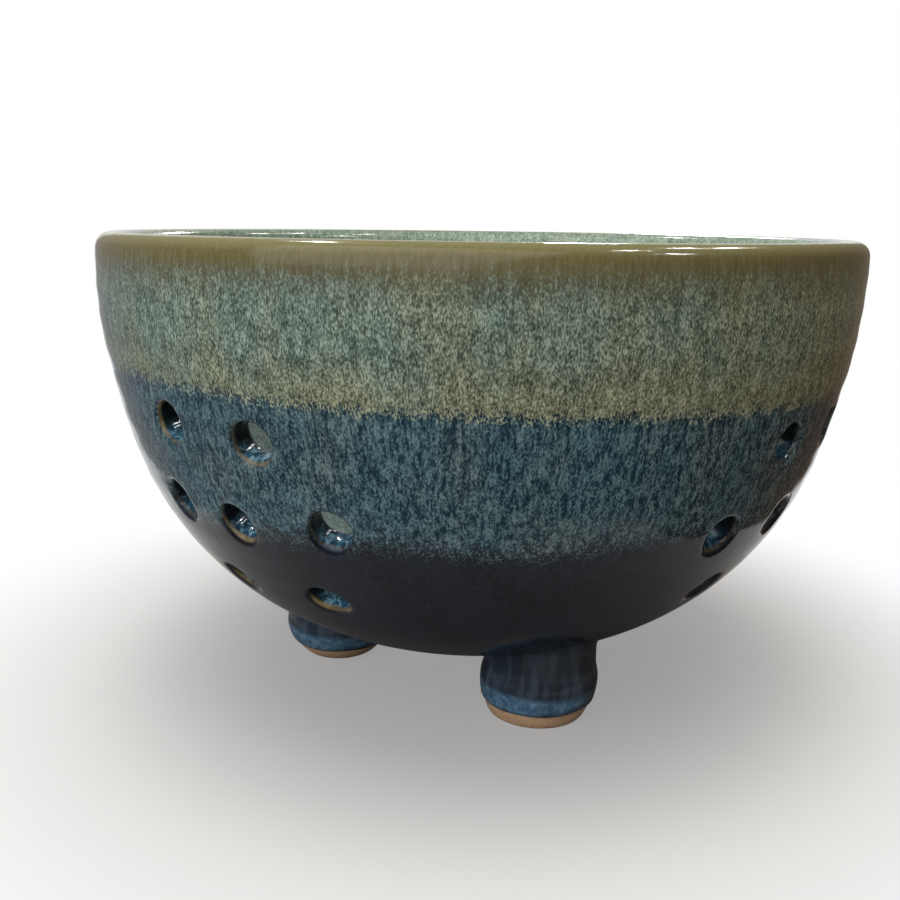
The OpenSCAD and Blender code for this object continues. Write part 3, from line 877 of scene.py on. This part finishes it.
# Painted shade: each foot is painted darker towards its top, in the shade under the bowl
top = add(tree, "ShaderNodeSeparateXYZ", {0: place}).outputs["Z"]
top = add(tree, "ShaderNodeMapRange", {0: top, 1: 9.0, 2: 14.0, 4: 0.3}).outputs[0]
body = add(tree, "ShaderNodeMix", {0: top, 6: body, 7: "#17181b"}, **RGBA).outputs[2]
glassy(tree, shader, place, body)
for coat in foot_coats:
    coat.data.materials.append(pooled_blue)

# %% [markdown]
# ## Bare stoneware
# Below the glaze the feet are bare fired clay: warm tan, matt, with fine sand
# and a few iron spots. The same clay is under the glaze everywhere.

# %% Stoneware
# Fired clay: dry and sandy beside the wet shine of the glaze
stoneware, tree, shader, place = new_material("bare_stoneware")
sand = add(tree, "ShaderNodeTexNoise",
           {"Vector": place, "Scale": 3.0, "Detail": 4, "Roughness": 0.7}).outputs[0]
cloud = add(tree, "ShaderNodeTexNoise", {"Vector": place, "Scale": 0.2, "Detail": 3}).outputs[0]
spots = add(tree, "ShaderNodeTexVoronoi", {"Vector": place, "Scale": 0.7}).outputs["Distance"]
clay = add(tree, "ShaderNodeMix", {0: cloud, 6: "#9a7b5f", 7: "#b89876"}, **RGBA).outputs[2]
grit = add(tree, "ShaderNodeMapRange", {0: sand, 1: 0.42, 2: 0.62, 4: 0.5}).outputs[0]
clay = add(tree, "ShaderNodeMix", {0: grit, 6: clay, 7: "#c9aa87"}, **RGBA).outputs[2]
iron = add(tree, "ShaderNodeMapRange", {0: spots, 1: 0.16, 2: 0.10}).outputs[0]
clay = add(tree, "ShaderNodeMix", {0: iron, 6: clay, 7: "#4a3020"}, **RGBA).outputs[2]
rough = add(tree, "ShaderNodeBump", {"Height": sand, "Strength": 0.5, "Distance": 0.0002})
tree.links.new(clay, shader.inputs["Base Color"])
tree.links.new(rough.outputs[0], shader.inputs["Normal"])
shader.inputs["Roughness"].default_value = 0.85
slip_joints = [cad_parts[f"slip_joint_{name}"] for name in FEET]
for piece in [*clay_feet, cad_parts["bowl_body"], *slip_joints]:
    piece.data.materials.clear()
    piece.data.materials.append(stoneware)
print("materials:", [m.name for m in (rutile_blue, speckled_green, pooled_blue, stoneware)])

# %% [markdown]
# ## Floor, backdrop and light
# A plain pale floor and a white backdrop, cut to just what the camera sees, so
# that the pot's sides mirror the room and not paper. Away from the pot the paper
# is white, for the camera and in the glaze's mirror. Round the pot the paper is
# painted darker, a painted shadow on top of the lamps' own shadow, which the
# glaze mirrors too, and the camera sees the shadow a little softened.
# The light is one large soft box in front on the left. Small lamps light nothing
# by themselves and are seen only in the gloss, as the glints in the holes and on
# the rim. The room is plain: grey on the left, and on the right brown, darker
# below, like the wooden table that the real pot mirrors.

# %% Stage
# Matt white paper, which shows the pot and nothing of itself
paper, tree, shader, place = new_material("white_paper")
path = add(tree, "ShaderNodeLightPath").outputs
mirrored = add(tree, "ShaderNodeMath", {0: path["Is Glossy Ray"], 1: path["Is Transmission Ray"]},
               operation="MAXIMUM").outputs[0]
out_mm = add(tree, "ShaderNodeVectorMath", {0: place}, operation="LENGTH").outputs["Value"]
# Painted shadow: near the pot the paper is painted darker, darkest under it
pale = add(tree, "ShaderNodeMapRange", {0: out_mm, 1: 42, 2: 100}, **SMOOTH).outputs[0]
floor_with_painted_shadow = add(tree, "ShaderNodeMix", {0: pale, 6: "#787675", 7: "#d6d4d0"}, **RGBA).outputs[2]
tree.links.new(floor_with_painted_shadow, shader.inputs["Base Color"])
shader.inputs["Roughness"].default_value = 0.9
shader.inputs["Specular IOR Level"].default_value = 0.1
far = add(tree, "ShaderNodeMapRange", {0: out_mm, 1: 68, 2: 155}, **SMOOTH).outputs[0]
white = add(tree, "ShaderNodeMath", {0: mirrored, 1: far}, operation="MULTIPLY").outputs[0]
shown = add(tree, "ShaderNodeMapRange", {0: far, 3: 0.3}).outputs[0]
white = add(tree, "ShaderNodeMath", {0: path["Is Camera Ray"], 1: shown, 2: white},
            operation="MULTIPLY_ADD").outputs[0]
glow = add(tree, "ShaderNodeEmission", {"Color": (1, 1, 1, 1), "Strength": 1.0}).outputs[0]
mixed = add(tree, "ShaderNodeMixShader", {0: white, 1: shader.outputs[0], 2: glow}).outputs[0]
tree.links.new(mixed, tree.nodes["Material Output"].inputs["Surface"])


def sheet(name, corners_m):
    """A flat sheet of paper, part of the stage."""
    mesh = bpy.data.meshes.new(name)
    mesh.from_pydata(corners_m, [], [range(len(corners_m))])
    mesh.materials.append(paper)
    made = bpy.data.objects.new(name, mesh)
    bpy.context.scene.collection.objects.link(made)


FRONT, NEAR_LEFT, NEAR_RIGHT = -0.105, -0.075, 0.069
BACK, LEFT, RIGHT, HIGH = 0.8, -0.497, 0.431, 0.75
sheet("floor", [(NEAR_LEFT, FRONT, 0), (NEAR_RIGHT, FRONT, 0), (RIGHT, BACK, 0), (LEFT, BACK, 0)])
sheet("backdrop", [(LEFT, BACK, 0), (RIGHT, BACK, 0), (RIGHT, BACK, HIGH), (LEFT, BACK, HIGH)])

world = bpy.data.worlds.new("studio")
bpy.context.scene.world = world
world.use_nodes = True
tree = world.node_tree
towards = add(tree, "ShaderNodeTexCoord").outputs["Generated"]
towards = add(tree, "ShaderNodeSeparateXYZ", {0: towards}).outputs
right = add(tree, "ShaderNodeMapRange", {0: towards["X"], 1: -0.6, 2: 0.8}, **SMOOTH).outputs[0]
higher = add(tree, "ShaderNodeMapRange", {0: towards["Z"], 1: -0.3, 2: 0.0}, **SMOOTH).outputs[0]
wood = add(tree, "ShaderNodeMix", {0: higher, 6: "#533c2c", 7: "#7c715f"}, **RGBA).outputs[2]
room = add(tree, "ShaderNodeMix", {0: right, 6: "#9c989a", 7: wood}, **RGBA).outputs[2]
tree.links.new(room, tree.nodes["Background"].inputs["Color"])


# %% Lamps
AIM = [0, 0, 0.05]


def lamp(name, turn, lift, far_m, size_m, watts):
    """A square soft lamp aimed at the pot's middle: its turn from the front to the right
    and its lift above the table are angles in degrees."""
    data = bpy.data.lights.new(name, "AREA")
    data.shape, data.size, data.energy = "SQUARE", size_m, watts
    made = bpy.data.objects.new(name, data)
    turn, lift = np.radians([turn, lift])
    out = around(np.cos(lift), np.sin(lift), turn)
    right = np.array([np.cos(turn), np.sin(turn), 0])
    made.matrix_world = placed(right, np.cross(out, right), out, out * far_m + AIM)
    bpy.context.scene.collection.objects.link(made)
    return made


lamp("soft_box", -28, 41, 1.25, 1.7, 24.5)
GLINTS = [(118, 57), (124, 49), (-143, 57), (72, 62), (66, 44)]
glint_lamps = [lamp(f"small_{i}", *at, 1.2, 0.055, 3.2) for i, at in enumerate(GLINTS)]
for small in [*glint_lamps, lamp("low_behind", 170, 33, 0.9, 0.09, 1.8)]:
    small.visible_diffuse = False
